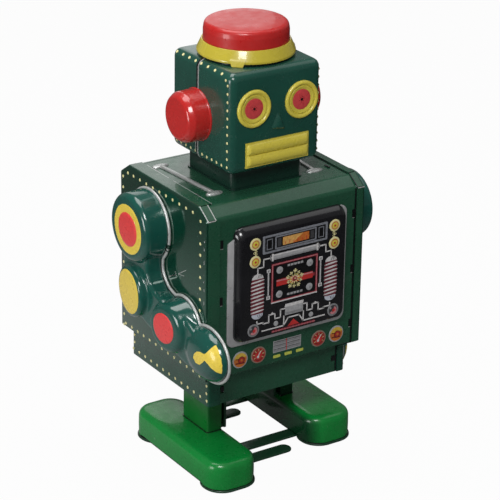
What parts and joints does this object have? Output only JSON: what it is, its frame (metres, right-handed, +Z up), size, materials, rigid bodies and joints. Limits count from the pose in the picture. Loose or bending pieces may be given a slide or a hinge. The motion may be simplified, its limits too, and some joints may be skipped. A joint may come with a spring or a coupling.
{
  "type": "wind-up walking tin robot",
  "caption": "Clockwork walking robot in printed tinplate: box body and head, round red lamp cap and ears, rocking pressed arms, two crank-driven feet.",
  "frame": {"origin": "on the ground plane at the robot's middle plane (x = 0), in the middle of the right foot's rear stabiliser strip, on the underside that rests on the ground; the crankshaft axis is 9.9 mm in front of it", "axes": "+Z up, -Y the way the robot faces and walks, +X the robot's own left hand"},
  "size_m": [0.0812, 0.0631, 0.1307],
  "materials": {
    "body_green": "gloss lithographed dark green",
    "chest_litho": "gloss lithographed black with coloured print",
    "head_green": "gloss lithographed dark green",
    "red_lacquer": "gloss red lacquer",
    "yellow_lacquer": "gloss yellow lacquer",
    "arm_green": "gloss lithographed teal green",
    "bare_tin": "bare tinplate",
    "foot_green": "gloss bright green",
    "dark_green": "gloss dark green",
    "plated_steel": "plated steel",
    "turned_steel": "turned steel",
    "spring_steel": "blued spring steel",
    "gear_brass": "stamped brass"
  },
  "bodies": {
    "robot_body": {"front_shell": "body_green", "rear_cover": "body_green", "right_side_panel": "body_green", "left_side_panel": "body_green", "chest_panel": "chest_litho", "neck_collar": "body_green", "head_front_shell": "head_green", "head_rear_shell": "head_green", "right_ear_cap": "red_lacquer", "left_ear_cap": "red_lacquer", "lamp_ring": "yellow_lacquer", "lamp_cap": "red_lacquer", "right_motor_plate": "plated_steel", "left_motor_plate": "plated_steel", "plate_pillars": "plated_steel", "mainspring": "spring_steel", "pallet_pin": "turned_steel", "arm_pivot_rivets": "plated_steel"},
    "winding_arbor": {"winding_arbor": "turned_steel", "winding_key": "plated_steel", "ratchet_wheel": "turned_steel"},
    "great_wheel": {"great_wheel": "gear_brass"},
    "click": {"click_pawl": "turned_steel"},
    "intermediate": {"intermediate_arbor": "turned_steel", "intermediate_pinion": "gear_brass", "intermediate_wheel": "gear_brass"},
    "crankshaft": {"crank_shaft": "turned_steel", "crank_pinion": "gear_brass", "governor_drive_wheel": "gear_brass", "right_crank": "plated_steel", "left_crank": "plated_steel", "crank_pin_caps": "plated_steel"},
    "idler": {"idler_shaft": "turned_steel", "right_idler_crank": "plated_steel", "left_idler_crank": "plated_steel", "idler_pin_caps": "plated_steel"},
    "governor": {"governor_arbor": "turned_steel", "governor_pinion": "gear_brass", "star_wheel": "gear_brass"},
    "pallet": {"governor_pallet": "gear_brass"},
    "right_leg": {"right_leg_channel": "foot_green", "right_leg_strap": "dark_green", "right_foot_shell": "foot_green", "right_sole_plate": "dark_green", "right_arm_fork": "plated_steel"},
    "left_leg": {"left_leg_channel": "foot_green", "left_leg_strap": "dark_green", "left_foot_shell": "foot_green", "left_sole_plate": "dark_green", "left_arm_fork": "plated_steel"},
    "right_arm": {"right_arm_shell": "arm_green", "right_arm_back_plate": "bare_tin", "right_arm_drive_pin": "plated_steel"},
    "left_arm": {"left_arm_shell": "arm_green", "left_arm_back_plate": "bare_tin", "left_arm_drive_pin": "plated_steel"}
  },
  "joints": [
    {"name": "crank_turn", "type": "hinge", "parent": "robot_body", "child": "crankshaft", "pos_m": [0, -0.0099, 0.044], "axis": [1, 0, 0], "continuous": true},
    {"name": "idler_turn", "type": "hinge", "parent": "robot_body", "child": "idler", "pos_m": [0, -0.0099, 0.062], "axis": [1, 0, 0], "continuous": true},
    {"name": "right_leg_step", "type": "hinge", "parent": "crankshaft", "child": "right_leg", "pos_m": [-0.015, -0.0144, 0.044], "axis": [1, 0, 0], "continuous": true},
    {"name": "left_leg_step", "type": "hinge", "parent": "crankshaft", "child": "left_leg", "pos_m": [0.015, -0.0054, 0.044], "axis": [1, 0, 0], "continuous": true},
    {"name": "intermediate_turn", "type": "hinge", "parent": "robot_body", "child": "intermediate", "pos_m": [0, -0.00133, 0.04676], "axis": [1, 0, 0], "continuous": true},
    {"name": "great_wheel_turn", "type": "hinge", "parent": "robot_body", "child": "great_wheel", "pos_m": [-0.0071, 0.0011, 0.0345], "axis": [1, 0, 0], "continuous": true},
    {"name": "click_lift", "type": "hinge", "parent": "great_wheel", "child": "click", "pos_m": [-0.0061, 0.0025, 0.02744], "axis": [1, 0, 0], "range_deg": [-12, 0]},
    {"name": "key_winding", "type": "hinge", "parent": "robot_body", "child": "winding_arbor", "pos_m": [0, 0.0011, 0.0345], "axis": [1, 0, 0], "continuous": true},
    {"name": "governor_turn", "type": "hinge", "parent": "robot_body", "child": "governor", "pos_m": [0, -0.0139, 0.05093], "axis": [1, 0, 0], "continuous": true},
    {"name": "pallet_rock", "type": "hinge", "parent": "robot_body", "child": "pallet", "pos_m": [0.0014, -0.0219, 0.05593], "axis": [1, 0, 0], "range_deg": [-5, 5]},
    {"name": "right_arm_swing", "type": "hinge", "parent": "robot_body", "child": "right_arm", "pos_m": [-0.028, -0.0099, 0.057], "axis": [1, 0, 0], "range_deg": [0, 52]},
    {"name": "left_arm_swing", "type": "hinge", "parent": "robot_body", "child": "left_arm", "pos_m": [0.028, -0.0099, 0.057], "axis": [1, 0, 0], "range_deg": [-52, 0]}
  ],
  "couplings": [
    {"joint": "idler_turn", "follows": "crank_turn", "ratio": 1},
    {"joint": "right_leg_step", "follows": "crank_turn", "ratio": -1},
    {"joint": "left_leg_step", "follows": "crank_turn", "ratio": -1},
    {"joint": "intermediate_turn", "follows": "crank_turn", "ratio": -0.5},
    {"joint": "great_wheel_turn", "follows": "crank_turn", "ratio": 0.125},
    {"joint": "governor_turn", "follows": "crank_turn", "ratio": -3},
    {"joint": "left_arm_swing", "follows": "right_arm_swing", "ratio": -1}
  ]
}
